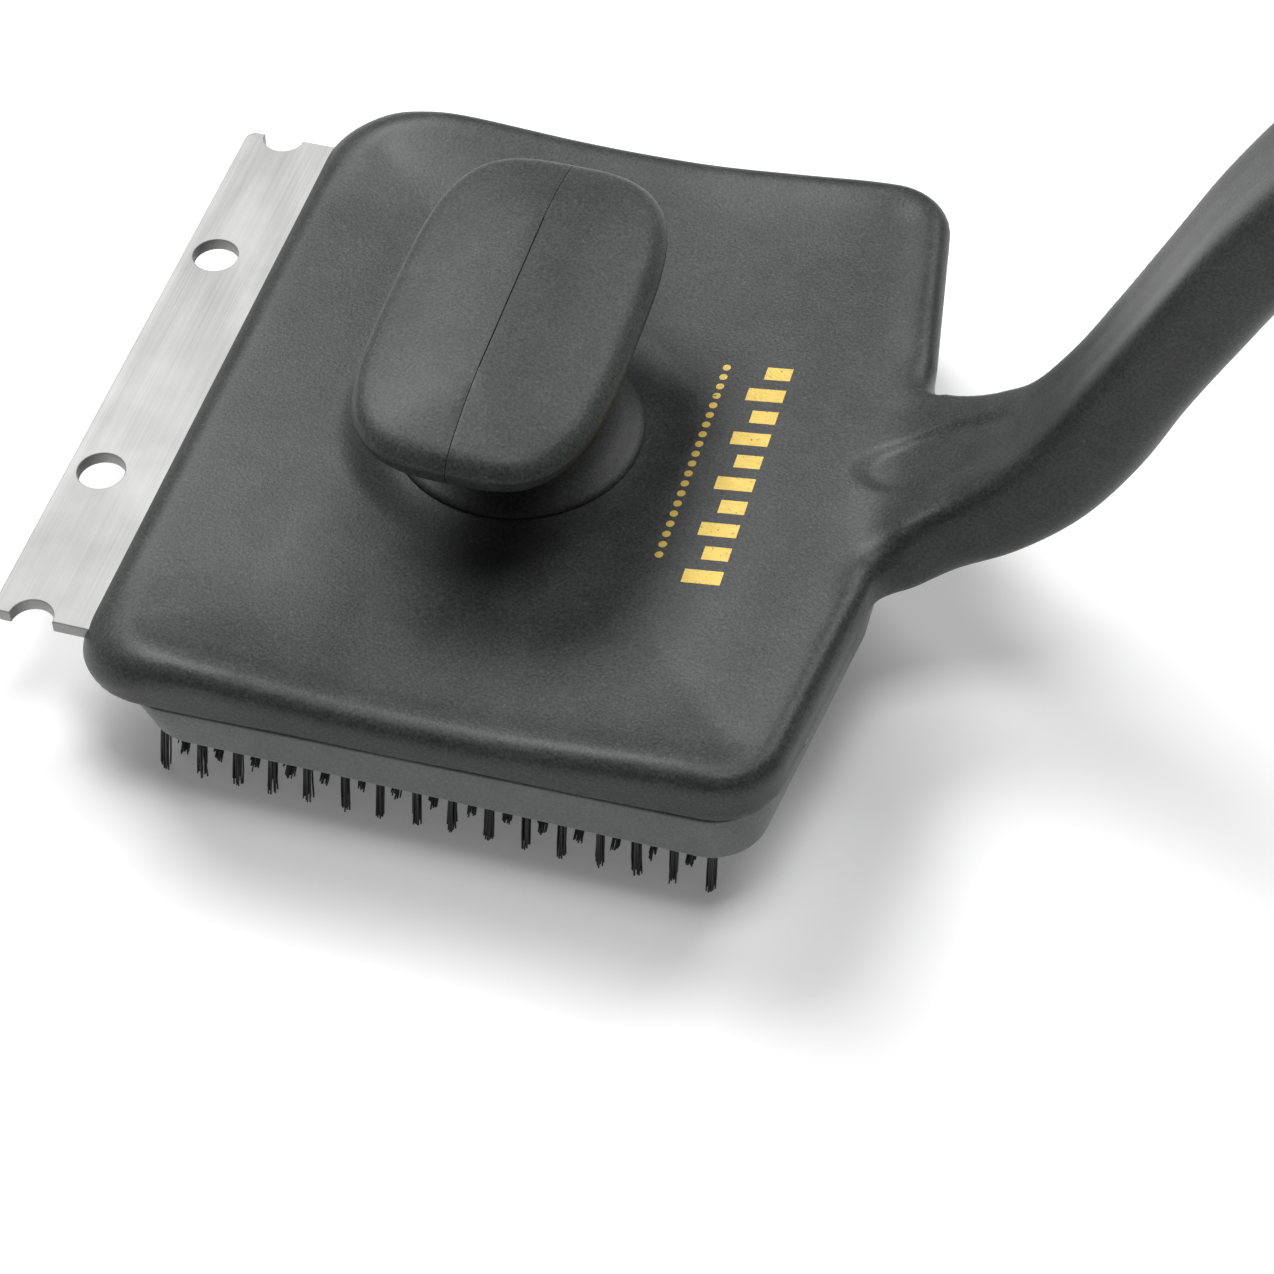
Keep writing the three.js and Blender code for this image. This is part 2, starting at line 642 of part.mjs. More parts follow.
function sideScrew(side) {
  const { recessFloorX, lugFrontX } = sideScrewXs();
  const y = side * SIDE_SCREW_Y;
  const headBack = recessFloorX + FIT_GAP;
  const profile = [
    [0, lugFrontX + 1 + FIT_GAP],
    [SIDE_SCREW_RADIUS * 0.6, lugFrontX + 1 + FIT_GAP],
    [SIDE_SCREW_RADIUS, lugFrontX + 3],
    [SIDE_SCREW_RADIUS, headBack],
    [SIDE_SCREW_HEAD_RADIUS, headBack],
    [SIDE_SCREW_HEAD_RADIUS, headBack + 1],
    [SIDE_SCREW_HEAD_RADIUS * 0.7, headBack + 1.9],
    [0, headBack + 2.1],
  ];
  const geometry = new THREE.LatheGeometry(profile.map(([r, x]) => new THREE.Vector2(r, x)), 20);
  geometry.rotateZ(-Math.PI / 2);
  geometry.translate(0, y, SIDE_SCREW_Z);
  const screw = toSolid(geometry);
  const slot = box([headBack + 1.2, y - 0.4, SIDE_SCREW_Z - 3], [headBack + 4, y + 0.4, SIDE_SCREW_Z + 3]);
  return toGeometry(screw.subtract(slot));
}

// ---- Assembly ----
const brush = new THREE.Group();
brush.name = "grill_brush";

function place(name, geometry, material) {
  const mesh = new THREE.Mesh(geometry, material);
  mesh.name = name;
  brush.add(mesh);
}

place("cover_and_handle", coverAndHandle(), coverBlack);
place("bristle_block", bristleBlock(), blockBlack);
place("scraper_blade", scraperBlade(), stainless);
place("knob_stem", knobStem(), knobBlack);
place("knob_front_half", knobHalf(-1), knobBlack);
place("knob_rear_half", knobHalf(1), knobBlack);
place("knob_screw", knobScrew(), zincSteel);
place("knob_washer", knobWasher(), zincSteel);
place("block_screw_near", sideScrew(-1), zincSteel);
place("block_screw_far", sideScrew(1), zincSteel);
for (let index = 0; index < TUFT_ROWS; index += 1) {
  const number = String(index + 1).padStart(2, "0");
  place(`tuft_row_${number}`, tuftRow(index), bristleBlack);
}

export default brush;
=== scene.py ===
"""Looks of the grill cleaning brush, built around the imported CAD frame.

Lengths in the tables are millimetres, in the frame of the CAD part.
"""
import math
import random

import bmesh
import bpy
import numpy as np
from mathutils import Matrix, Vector
from mathutils.bvhtree import BVHTree


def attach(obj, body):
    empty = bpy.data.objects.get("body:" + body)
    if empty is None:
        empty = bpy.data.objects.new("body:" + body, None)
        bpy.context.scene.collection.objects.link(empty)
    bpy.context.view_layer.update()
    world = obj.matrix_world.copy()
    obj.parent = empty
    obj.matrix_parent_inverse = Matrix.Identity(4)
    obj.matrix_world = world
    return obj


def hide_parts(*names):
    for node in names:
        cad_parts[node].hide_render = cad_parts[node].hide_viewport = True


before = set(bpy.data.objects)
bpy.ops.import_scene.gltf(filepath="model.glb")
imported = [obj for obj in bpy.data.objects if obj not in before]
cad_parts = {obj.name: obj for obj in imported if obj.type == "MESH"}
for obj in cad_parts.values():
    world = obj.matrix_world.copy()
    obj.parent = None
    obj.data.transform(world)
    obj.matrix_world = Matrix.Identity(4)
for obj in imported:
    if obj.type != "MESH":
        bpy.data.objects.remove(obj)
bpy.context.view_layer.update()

MM = 0.001

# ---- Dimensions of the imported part, in millimetres ----
COVER_FRONT_X = -60.0
COVER_HALF_WIDTH = 79.0
REAR_CORNER_X = 69.0
REAR_MIDDLE_X = 77.0
REAR_MIDDLE_HALF_WIDTH = 22.0
REAR_MIDDLE_RADIUS = 12.0
PARTING_FRONT_Z = 25.1
PARTING_REAR_Z = 28.6
FIT_GAP = 0.3

BLOCK_BOTTOM_Z = 16.5
BLOCK_FRONT_X = -47.0
BLOCK_HALF_WIDTH = 78.4
BLOCK_REAR_INSET = 2.4
BLOCK_EDGE_RADIUS = 1.6
BLOCK_FRONT_RADIUS = 10.0
BLOCK_REAR_RADIUS = 10.5
# How much further forward the block's front wall is at its top.
BLOCK_FRONT_SLOPE = 3.6

BLADE_TOP_Z = 29.5
BLADE_THICKNESS = 2.8
BLADE_FRONT_X = -77.0
BLADE_REAR_X = -22.0
BLADE_HALF_LENGTH = 67.5
BLADE_HOLE_RADIUS = 4.5
BLADE_HOLE_X = -70.5
BLADE_HOLE_Y = 30.5
BITE_RADIUS = 4.1
BITE_X = -69.3

KNOB_X = 1.8
KNOB_HALF_LENGTH = 41.0
KNOB_HALF_WIDTH = 23.5
KNOB_SQUARENESS = 3.45
KNOB_TOP_Z = 66.5
KNOB_DEPTH = 16.0
FLANGE_RADIUS = 24.2
FLANGE_SEAT_Z = 31.4

SIDE_SCREW_Y = 52.0
SIDE_SCREW_Z = 24.0
RECESS_RADIUS = 3.4

TUFT_PITCH = 6.8
ROW_PITCH = 6.55
TUFT_ROWS = 23
LEAN_PER_MM = 0.016
MIDDLE_TUFT_ROOT_X = LEAN_PER_MM * REAR_CORNER_X / (1 + LEAN_PER_MM)
FIRST_TUFT_X = MIDDLE_TUFT_ROOT_X - 6.5 * TUFT_PITCH

HANG_HOLE_RADIUS = 6.0
HANG_HOLE_X = 281.0

# Height of the cover's raised rim along X.
RIM_PROFILE = [
    (-60, 31.3), (-55, 32.9), (-48, 34.8), (-40, 36), (-31, 36.2), (-22, 35.7),
    (-10, 35), (3, 34.7), (20, 35.1), (38, 36.9), (54, 38.7), (69, 39.2),
]
# Highest level of the cover across its front.
FRONT_LEVEL = 32.6
# Section of the rim: distance inwards from the outline, height relative to the rim.
RIM_SECTION = [
    (0, -3.9), (0.2, -2.6), (0.85, -1.4), (1.9, -0.5), (3.1, -0.06), (4.2, 0), (6.2, -0.3),
    (9.5, -0.95), (15, -1.6), (23, -2.2), (34, -2.7), (48, -3), (62, -3.05),
]
# The same section at the front, where the edge is rolled off more softly.
RIM_SECTION_FRONT = [
    (0, -5.4), (0.5, -3.7), (1.6, -2.1), (3.3, -1), (5.4, -0.4), (7.5, -0.2), (9.8, -0.35),
    (12.5, -0.9), (17, -1.6), (24, -2.2), (34, -2.7), (48, -3), (62, -3.05),
]
# Handle centre line: x, z, half width, half thickness.
HANDLE_STATIONS = [
    (52, 30.2, 34, 3), (66, 30.8, 31, 5), (76, 33.2, 24.5, 7.6), (86, 38.4, 17.6, 9.1),
    (94, 43.2, 15.2, 10), (102.2, 50.8, 13.2, 10), (109.7, 63.6, 12.3, 9.7),
    (116, 78.7, 12, 9.1), (122.6, 94, 12.1, 9.1), (131.4, 113.3, 12.5, 9.4),
    (142, 129.5, 13.2, 10.2), (158, 144.5, 14.2, 10.9), (180, 156.5, 15.2, 11.4),
    (206, 166, 15.4, 11.4), (234, 174, 15, 10.6), (262, 181.4, 14.6, 8.8),
    (279, 185.9, 14.1, 7.1), (287, 188, 12.6, 6.2), (292, 189.3, 10.4, 5.6),
]
HANDLE_END = (297.4, 190.7)
HANDLE_SQUARENESS = 2.7
HANDLE_TOP_SQUARENESS = 5.5
HANDLE_TOP_DISH = 0.9

# How far the palm face sits off the knob's middle towards the scraper.
PALM_FACE_SHIFT = 0.8
# Knob section from its underside to its crown: distance inwards from the outline, depth below
# the crown.
KNOB_SECTION = [
    (12.5, 16), (9, 15.6), (6.2, 14.6), (3.6, 12.9), (1.6, 10.6), (0.4, 8.6), (0, 7), (0.15, 6.2),
    (0.6, 5.3), (1.2, 4.55), (1.9, 3.95), (2.9, 3.42), (4.3, 2.95), (6.8, 2.3), (10.3, 1.45),
    (14.5, 0.7), (21, 0.1),
]

# Plain gold pattern on the cover.
BARS_X = (42.2, 49.4)
BARS_Y = (-32.7, 26.2)
BAR_PITCH = 5.9
BAR_SHARE = 0.56
SHORTER_BAR = 2.2
DOTS_X = 36.6
DOTS_Y = (-28.0, 24.0)
DOT_PITCH = 2.6
DOT_RADIUS_SQUARED = 0.62
PRINT_LOWEST_Z = 31.5

# ---- Camera, at the angle the object is seen from ----
CAMERA_AZIMUTH = math.radians(15.45)
CAMERA_ELEVATION = math.radians(50)
CAMERA_TARGET_Z = 29.5
CAMERA_RIGHT = 24.183
CAMERA_DOWN = 39.285
CAMERA_BACK = 585.0
SENSOR_WIDTH = 36.0
LENS = 87.31554

# ---- Studio: floor in millimetres, lights in metres and watts ----
FLOOR_RADIUS = 12000.0
FLOOR_SIDES = 96
WORLD_STRENGTH = 0.12
FLOOR_GLOW = 0.14
LIGHT_AIM = (0.02, 0, 0.03)
# Name, place, size, power.
LIGHTS = [
    ("key", (-0.8, 0.68, 1.3), 0.8, 24),
    ("back", (0.44, 0.85, 1.05), 0.5, 7),
    ("overhead", (0.1, -0.1, 1.3), 0.4, 6),
]


def make_camera():
    az, el = CAMERA_AZIMUTH, CAMERA_ELEVATION
    right = Vector((math.cos(az), math.sin(az), 0))
    back = Vector((math.sin(az) * math.cos(el), -math.cos(az) * math.cos(el), math.sin(el)))
    up = back.cross(right)
    place = Vector((0, 0, CAMERA_TARGET_Z))
    place += right * CAMERA_RIGHT - up * CAMERA_DOWN + back * CAMERA_BACK
    data = bpy.data.cameras.new("camera")
    data.sensor_width = SENSOR_WIDTH
    data.lens = LENS
    data.clip_start = 0.01
    data.clip_end = 100
    camera = bpy.data.objects.new("camera", data)
    camera.location = place * MM
    camera.rotation_euler = (math.pi / 2 - el, 0, az)
    bpy.context.scene.collection.objects.link(camera)
    bpy.context.scene.camera = camera


# ---- Mesh helpers ----
def mesh_object(name, points, faces, material=None):
    """Makes an object from points in millimetres."""
    mesh = bpy.data.meshes.new(name)
    mesh.from_pydata([tuple(p) for p in np.asarray(points, float) * MM], [], [tuple(f) for f in faces])
    mesh.update()
    obj = bpy.data.objects.new(name, mesh)
    bpy.context.scene.collection.objects.link(obj)
    if material:
        mesh.materials.append(material)
    return obj


def points_of(obj):
    """Vertex positions in millimetres."""
    co = np.empty(len(obj.data.vertices) * 3, np.float32)
    obj.data.vertices.foreach_get("co", co)
    return co.reshape(-1, 3).astype(float) / MM


def set_points(obj, points):
    obj.data.vertices.foreach_set("co", (np.asarray(points) * MM).astype(np.float32).ravel())
    obj.data.update()


def smooth_shade(obj, angle):
    """Smooth shading, with sharp edges where faces meet at more than the angle in degrees."""
    obj.data.shade_smooth()
    obj.data.set_sharp_from_angle(angle=math.radians(angle))


def remove(obj):
    bpy.data.objects.remove(obj)


def apply_modifiers(obj):
    """Replaces the mesh by what its modifiers make of it."""
    graph = bpy.context.evaluated_depsgraph_get()
    mesh = bpy.data.meshes.new_from_object(obj.evaluated_get(graph))
    obj.modifiers.clear()
    obj.data = mesh


def cut(obj, *tools, operation="DIFFERENCE"):
    for tool in tools:
        modifier = obj.modifiers.new("cut", "BOOLEAN")
        modifier.object = tool
        modifier.operation = operation
        modifier.solver = "EXACT"
    apply_modifiers(obj)
    for tool in tools:
        remove(tool)


def weld(obj, distance):
    """Merges points closer than the distance, in millimetres."""
    work = bmesh.new()
    work.from_mesh(obj.data)
    bmesh.ops.remove_doubles(work, verts=work.verts, dist=distance * MM)
    bmesh.ops.dissolve_degenerate(work, edges=work.edges, dist=distance * MM)
    bmesh.ops.recalc_face_normals(work, faces=work.faces)
    work.to_mesh(obj.data)
    work.free()


def loft_faces(levels, count):
    """Quads between rings of points, and a face across each end."""
    faces = []
    for level in range(levels - 1):
        for i in range(count):
            a = level * count + i
            b = level * count + (i + 1) % count
            faces.append((a, b, b + count, a + count))
    faces.append(tuple(range(count - 1, -1, -1)))
    faces.append(tuple(range((levels - 1) * count, levels * count)))
    return faces


def loft_object(name, rings):
    rings = [np.asarray(r, float) for r in rings]
    return mesh_object(name, np.concatenate(rings), loft_faces(len(rings), len(rings[0])))


def box_object(low, high):
    (x0, y0, z0), (x1, y1, z1) = low, high
    rings = [[(x0, y0, z), (x1, y0, z), (x1, y1, z), (x0, y1, z)] for z in (z0, z1)]
    return loft_object("tool", rings)


def cylinder_object(radius, start, end, sides=64):
    """A round bar between two points."""
    start, end = Vector(start), Vector(end)
    axis = (end - start).normalized()
    side = axis.orthogonal().normalized()
    other = axis.cross(side)
    angles = [2 * math.pi * i / sides for i in range(sides)]
    rings = [
        [centre + side * radius * math.cos(a) + other * radius * math.sin(a) for a in angles]
        for centre in (start, end)
    ]
    return loft_object("tool", rings)


def curve_through(points, steps):
    """Centripetal Catmull-Rom curve through points, in the given steps from each to the next."""
    p = np.asarray(points, float)
    p = np.vstack([2 * p[0] - p[1], p, 2 * p[-1] - p[-2]])
    out = []
    for i in range(1, len(p) - 2):
        p0, p1, p2, p3 = p[i - 1:i + 3]
        t0 = 0.0
        t1 = t0 + np.linalg.norm(p1 - p0) ** 0.5
        t2 = t1 + np.linalg.norm(p2 - p1) ** 0.5
        t3 = t2 + np.linalg.norm(p3 - p2) ** 0.5
        for t in np.linspace(t1, t2, steps, endpoint=False):
            a1 = (t1 - t) / (t1 - t0) * p0 + (t - t0) / (t1 - t0) * p1
            a2 = (t2 - t) / (t2 - t1) * p1 + (t - t1) / (t2 - t1) * p2
            a3 = (t3 - t) / (t3 - t2) * p2 + (t - t2) / (t3 - t2) * p3
            b1 = (t2 - t) / (t2 - t0) * a1 + (t - t0) / (t2 - t0) * a2
            b2 = (t3 - t) / (t3 - t1) * a2 + (t - t1) / (t3 - t1) * a3
            out.append((t2 - t) / (t2 - t1) * b1 + (t - t1) / (t2 - t1) * b2)
    out.append(p[-2])
    return np.array(out)


def smoothstep(low, high, value):
    t = np.clip((np.asarray(value, float) - low) / (high - low), 0, 1)
    return t * t * (3 - 2 * t)


def edges_of(obj):
    edges = np.empty(len(obj.data.edges) * 2, np.int32)
    obj.data.edges.foreach_get("vertices", edges)
    return edges.reshape(-1, 2)


def relax(points, edges, weight, rounds):
    """Moves every point half way to the mean of its neighbours, times its weight, in each round."""
    count = len(points)
    a, b = edges[:, 0], edges[:, 1]
    valence = np.bincount(a, minlength=count) + np.bincount(b, minlength=count)
    for _ in range(rounds):
        total = np.empty_like(points)
        for axis in range(3):
            total[:, axis] = (
                np.bincount(a, weights=points[b, axis], minlength=count)
                + np.bincount(b, weights=points[a, axis], minlength=count)
            )
        points = points + (0.5 * weight)[:, None] * (total / valence[:, None] - points)
    return points


# ---- Outline of the head ----
def head_corners(front_x, half_width, rear_inset, front_radius, rear_radius):
    """Corners of the head seen from above: x, y, radius."""
    rear_x = REAR_CORNER_X - rear_inset
    middle_x = REAR_MIDDLE_X - rear_inset
    return [
        (front_x, -half_width, front_radius),
        (rear_x, -half_width, rear_radius),
        (middle_x, -REAR_MIDDLE_HALF_WIDTH, REAR_MIDDLE_RADIUS),
        (middle_x, REAR_MIDDLE_HALF_WIDTH, REAR_MIDDLE_RADIUS),
        (rear_x, half_width, rear_radius),
        (front_x, half_width, front_radius),
    ]


def inset_corners(corners, distance):
    """Moves every edge of a convex outline inwards."""
    count = len(corners)
    edges = []
    for i, (x, y, _) in enumerate(corners):
        nx, ny, _ = corners[(i + 1) % count]
        length = math.hypot(nx - x, ny - y)
        n = (-(ny - y) / length, (nx - x) / length)
        edges.append((n[0], n[1], n[0] * x + n[1] * y + distance))
    out = []
    for i, (_, _, radius) in enumerate(corners):
        ax, ay, ac = edges[i - 1]
        bx, by, bc = edges[i]
        det = ax * by - ay * bx
        out.append(((ac * by - bc * ay) / det, (ax * bc - bx * ac) / det, max(radius - distance, 2)))
    return out


def outline(corners, arc_steps=12, edge_steps=40):
    """Points along the rounded outline, the same number for every inset of it."""
    count = len(corners)
    arcs = []
    for i, (x, y, radius) in enumerate(corners):
        here = np.array((x, y))
        before = np.array(corners[i - 1][:2]) - here
        after = np.array(corners[(i + 1) % count][:2]) - here
        before, after = before / np.linalg.norm(before), after / np.linalg.norm(after)
        half = math.acos(np.clip(before @ after, -1, 1)) / 2
        inward = (before + after) / np.linalg.norm(before + after)
        centre = here + inward * radius / math.sin(half)
        start = here + before * radius / math.tan(half) - centre
        for_arc = []
        for k in range(arc_steps + 1):
            turn = (math.pi - 2 * half) * k / arc_steps
            c, s = math.cos(turn), math.sin(turn)
            for_arc.append(centre + (c * start[0] - s * start[1], s * start[0] + c * start[1]))
        arcs.append(for_arc)
    points = []
    for i, arc in enumerate(arcs):
        points += arc
        start, end = arc[-1], arcs[(i + 1) % count][0]
        points += [start + (end - start) * k / edge_steps for k in range(1, edge_steps)]
    return np.array(points)


def parting_height(x):
    share = (np.asarray(x, float) - COVER_FRONT_X) / (REAR_MIDDLE_X - COVER_FRONT_X)
    return PARTING_FRONT_Z + (PARTING_REAR_Z - PARTING_FRONT_Z) * np.clip(share, 0, 1)


RIM_CURVE = curve_through(RIM_PROFILE, 10)


def rim_height(x):
    return np.interp(x, RIM_CURVE[:, 0], RIM_CURVE[:, 1])


# ---- Node material helpers ----
class Nodes:
    """Small helper to write node trees in a few lines."""

    def __init__(self, name):
        self.material = bpy.data.materials.new(name)
        self.material.use_nodes = True
        self.tree = self.material.node_tree
        self.shader = self.tree.nodes["Principled BSDF"]
        self.place = self.add("ShaderNodeTexCoord").outputs["Object"]

    def add(self, kind, **settings):
        node = self.tree.nodes.new(kind)
        for key, value in settings.items():
            setattr(node, key, value)
        return node

    def feed(self, socket, value):
        if isinstance(value, bpy.types.NodeSocket):
            self.tree.links.new(value, socket)
        else:
            socket.default_value = value

    def scaled(self, scale):
        node = self.add("ShaderNodeMapping")
        self.feed(node.inputs["Vector"], self.place)
        node.inputs["Scale"].default_value = scale
        return node.outputs["Vector"]

    def noise(self, size_mm, detail=2.0, roughness=0.5, stretch=(1, 1, 1)):
        """Noise whose features are about size_mm across, stretched along the axes."""
        node = self.add("ShaderNodeTexNoise")
        scale = tuple(1000 / (size_mm * s) for s in stretch)
        self.feed(node.inputs["Vector"], self.scaled(scale))
        node.inputs["Scale"].default_value = 1
        node.inputs["Detail"].default_value = detail
        node.inputs["Roughness"].default_value = roughness
        return node.outputs["Fac"]

    def math(self, operation, a, b=None):
        node = self.add("ShaderNodeMath", operation=operation)
        self.feed(node.inputs[0], a)
        if b is not None:
            self.feed(node.inputs[1], b)
        return node.outputs[0]

    def remap(self, value, low, high, to_low, to_high):
        node = self.add("ShaderNodeMapRange")
        node.clamp = True
        for socket, number in zip(node.inputs[1:5], (low, high, to_low, to_high)):
            socket.default_value = number
        self.feed(node.inputs[0], value)
        return node.outputs[0]

    def mix(self, share, a, b):
        node = self.add("ShaderNodeMix", data_type="RGBA")
        self.feed(node.inputs["Factor"], share)
        self.feed(node.inputs[6], a)
        self.feed(node.inputs[7], b)
        return node.outputs[2]

    def axis(self, index):
        node = self.add("ShaderNodeSeparateXYZ")
        self.feed(node.inputs[0], self.scaled((1000, 1000, 1000)))
        return node.outputs[index]

    def bump(self, height, depth_mm, normal=None):
        node = self.add("ShaderNodeBump")
        node.inputs["Strength"].default_value = 1.0
        node.inputs["Distance"].default_value = depth_mm * MM
        self.feed(node.inputs["Height"], height)
        if normal is not None:
            self.feed(node.inputs["Normal"], normal)
        return node.outputs["Normal"]


def grey(value):
    return (value, value, value, 1)


def moulded_plastic(name, dark, light, rough_low, rough_high, grain_depth=0.05, contrast=0.45):
    """Matte moulded plastic: fine grain, faint mottling, rubbed patches."""
    grain_mm = 0.6
    n = Nodes(name)
    mottle = n.noise(7, 4, 0.6)
    patches = n.noise(34, 3, 0.55)
    grain = n.noise(grain_mm, 3, 0.65)
    tone = n.math("ADD", n.math("MULTIPLY", mottle, 0.6), n.math("MULTIPLY", patches, 0.4))
    speckle = n.remap(n.noise(grain_mm * 0.9, 2, 0.6), 0.3, 0.7, 1 - contrast, 1 + contrast)
    value = n.math("MULTIPLY", n.remap(tone, 0.36, 0.66, dark, light), speckle)
    fleck = n.remap(n.noise(grain_mm, 2, 0.5), 0.62, 0.76, 0, light * contrast * 1.8)
    value = n.math("ADD", value, fleck)
    # The faintly green tint of grey-black plastic.
    n.feed(n.shader.inputs["Base Color"], n.mix(value, (0, 0, 0, 1), (0.95, 1, 0.98, 1)))
    rough = n.math("ADD", n.math("MULTIPLY", grain, 0.35), n.math("MULTIPLY", patches, 0.65))
    n.feed(n.shader.inputs["Roughness"], n.remap(rough, 0.3, 0.7, rough_low, rough_high))
    n.shader.inputs["Specular IOR Level"].default_value = 0.3
    wavy = n.bump(mottle, 0.02)
    n.feed(n.shader.inputs["Normal"], n.bump(grain, grain_depth, wavy))
    return n


def band(n, value, low, high):
    """1 between two values and 0 outside."""
    return n.math("MULTIPLY", n.math("GREATER_THAN", value, low), n.math("LESS_THAN", value, high))


def printed_bars(n):
    """Mask of the plain pattern on the cover's top: bars of two lengths, and a row of dots."""
    x, y, z = n.axis(0), n.axis(1), n.axis(2)
    step = n.math("DIVIDE", n.math("ADD", y, -BARS_Y[0]), BAR_PITCH)
    odd = n.math("GREATER_THAN", n.math("FRACT", n.math("MULTIPLY", step, 0.5)), 0.5)
    bar = n.math("LESS_THAN", n.math("FRACT", step), BAR_SHARE)
    start = n.math("ADD", BARS_X[0], n.math("MULTIPLY", odd, SHORTER_BAR))
    length = n.math("MULTIPLY", n.math("GREATER_THAN", x, start), n.math("LESS_THAN", x, BARS_X[1]))
    bars = n.math("MULTIPLY", n.math("MULTIPLY", bar, length), band(n, y, *BARS_Y))
    dot_step = n.math("DIVIDE", n.math("ADD", y, -DOTS_Y[0]), DOT_PITCH)
    dot_y = n.math("MULTIPLY", n.math("SUBTRACT", n.math("FRACT", dot_step), 0.5), DOT_PITCH)
    dot_x = n.math("SUBTRACT", x, DOTS_X)
    away = n.math("ADD", n.math("MULTIPLY", dot_x, dot_x), n.math("MULTIPLY", dot_y, dot_y))
    dots = n.math("MULTIPLY", n.math("LESS_THAN", away, DOT_RADIUS_SQUARED), band(n, y, *DOTS_Y))
    mask = n.math("MAXIMUM", bars, dots)
    return n.math("MULTIPLY", mask, n.math("GREATER_THAN", z, PRINT_LOWEST_Z))


def cover_material():
    n = moulded_plastic("cover_plastic", 0.029, 0.044, 0.37, 0.48)
    shader = n.shader
    mask = printed_bars(n)
    wear_and_glint = n.remap(n.noise(0.7, 3, 0.6), 0.28, 0.36, 0, 1)
    mask = n.math("MULTIPLY", mask, wear_and_glint)
    base = shader.inputs["Base Color"].links[0].from_socket
    gold = n.mix(n.noise(3, 3, 0.6), (0.46, 0.32, 0.06, 1), (0.62, 0.46, 0.12, 1))
    n.feed(shader.inputs["Base Color"], n.mix(mask, base, gold))
    n.feed(shader.inputs["Metallic"], n.math("MULTIPLY", mask, 0.35))
    return n.material


def block_material():
    n = moulded_plastic("block_plastic", 0.135, 0.165, 0.36, 0.48, grain_depth=0.018, contrast=0.16)
    return n.material


def knob_material():
    return moulded_plastic("knob_plastic", 0.034, 0.049, 0.40, 0.52).material


def steel_material():
    """Stainless plate brushed along Y."""
    n = Nodes("scraper_steel")
    fine = n.noise(0.22, 3, 0.65, stretch=(1, 160, 1))
    coarse = n.noise(1.4, 3, 0.6, stretch=(1, 60, 1))
    smear = n.noise(22, 3, 0.6)
    streak = n.math("ADD", n.math("MULTIPLY", fine, 0.6), n.math("MULTIPLY", coarse, 0.4))
    colour = n.mix(n.remap(streak, 0.3, 0.7, 0, 1), (0.30, 0.30, 0.30, 1), (0.46, 0.46, 0.456, 1))
    n.feed(n.shader.inputs["Base Color"], colour)
    n.shader.inputs["Metallic"].default_value = 1.0
    rough = n.math("ADD", n.math("MULTIPLY", streak, 0.5), n.math("MULTIPLY", smear, 0.5))
    n.feed(n.shader.inputs["Roughness"], n.remap(rough, 0.3, 0.7, 0.58, 0.74))
    n.feed(n.shader.inputs["Normal"], n.bump(streak, 0.008))
    return n.material


def screw_material():
    n = Nodes("screw_steel")
    stain = n.noise(1.6, 4, 0.6)
    n.feed(n.shader.inputs["Base Color"], n.mix(stain, (0.16, 0.165, 0.17, 1), (0.32, 0.32, 0.31, 1)))
    n.shader.inputs["Metallic"].default_value = 1.0
    n.feed(n.shader.inputs["Roughness"], n.remap(stain, 0.3, 0.7, 0.28, 0.5))
    n.feed(n.shader.inputs["Normal"], n.bump(n.noise(0.3, 2, 0.5), 0.01))
    return n.material


def bristle_material():
    """Black nylon filaments, with painted highlights: paler grey on the downward cut ends near the
    tips.
    """
    n = Nodes("bristle_nylon")
    strand = n.noise(0.5, 2, 0.6, stretch=(1, 1, 30))
    colour = n.mix(n.remap(strand, 0.35, 0.65, 0, 1), grey(0.012), grey(0.04))
    facing = n.add("ShaderNodeSeparateXYZ")
    n.feed(facing.inputs[0], n.add("ShaderNodeNewGeometry").outputs["Normal"])
    # Painted highlight: faces pointing down, below 3 mm, are mixed towards pale grey in random spots.
    end = n.math("LESS_THAN", facing.outputs[2], -0.8)
    low = n.math("LESS_THAN", n.axis(2), 3.0)
    wear_and_glint = n.remap(n.noise(0.25, 1), 0.45, 0.6, 0.1, 0.9)
    tip = n.math("MULTIPLY", n.math("MULTIPLY", end, low), wear_and_glint)
    n.feed(n.shader.inputs["Base Color"], n.mix(tip, colour, grey(0.42)))
    n.feed(n.shader.inputs["Roughness"], n.remap(strand, 0.3, 0.7, 0.26, 0.44))
    n.feed(n.shader.inputs["Normal"], n.bump(n.noise(0.12, 2, stretch=(1, 1, 12)), 0.01))
    return n.material


def floor_material():
    n = Nodes("floor_paper")
    tone = n.noise(6, 4, 0.6)
    n.feed(n.shader.inputs["Base Color"], n.mix(tone, grey(0.86), grey(0.9)))
    n.shader.inputs["Roughness"].default_value = 0.85
    n.shader.inputs["Emission Color"].default_value = (1, 1, 1, 1)
    n.shader.inputs["Emission Strength"].default_value = FLOOR_GLOW
    n.shader.inputs["Specular IOR Level"].default_value = 0.2
    n.feed(n.shader.inputs["Normal"], n.bump(n.noise(0.6, 3, 0.6), 0.02))
    return n.material


